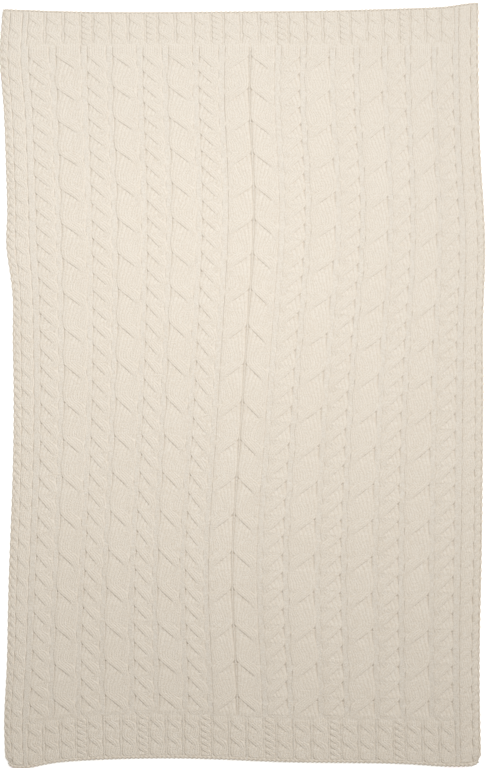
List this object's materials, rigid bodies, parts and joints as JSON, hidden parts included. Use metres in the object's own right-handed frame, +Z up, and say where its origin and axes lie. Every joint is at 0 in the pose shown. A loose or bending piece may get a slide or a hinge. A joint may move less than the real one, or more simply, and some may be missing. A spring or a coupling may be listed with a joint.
{
  "type": "cable-knit throw blanket",
  "caption": "Cream cable-knit throw laid out flat and open, with mirrored rope and wide cable columns, ribbed end bands and narrow side bands.",
  "frame": {"origin": "middle of the underside, on the surface the throw lies on", "axes": "+X across the throw, +Y along it from the cast-on end to the bind-off end, +Z up out of the cabled face"},
  "size_m": [1.1194, 1.7664, 0.008],
  "materials": {
    "cable_knit": "soft matt cotton knit with raised cables on a purl ground",
    "band_knit": "soft matt cotton rib and small twisted cords",
    "edge_chain": "soft matt cotton chain edge"
  },
  "bodies": {
    "root": {"centre_cable_left": "cable_knit", "rope_cable_left_1": "cable_knit", "wide_cable_left_1": "cable_knit", "rope_cable_left_2": "cable_knit", "wide_cable_left_2": "cable_knit", "rope_cable_left_3": "cable_knit", "wide_cable_left_3": "cable_knit", "rope_cable_left_4": "cable_knit", "centre_cable_right": "cable_knit", "rope_cable_right_1": "cable_knit", "wide_cable_right_1": "cable_knit", "rope_cable_right_2": "cable_knit", "wide_cable_right_2": "cable_knit", "rope_cable_right_3": "cable_knit", "wide_cable_right_3": "cable_knit", "rope_cable_right_4": "cable_knit", "side_band_left": "band_knit", "selvedge_left": "edge_chain", "side_band_right": "band_knit", "selvedge_right": "edge_chain", "lower_band": "band_knit", "upper_band": "band_knit", "cast_on_edge": "edge_chain", "bind_off_edge": "edge_chain"}
  },
  "joints": []
}
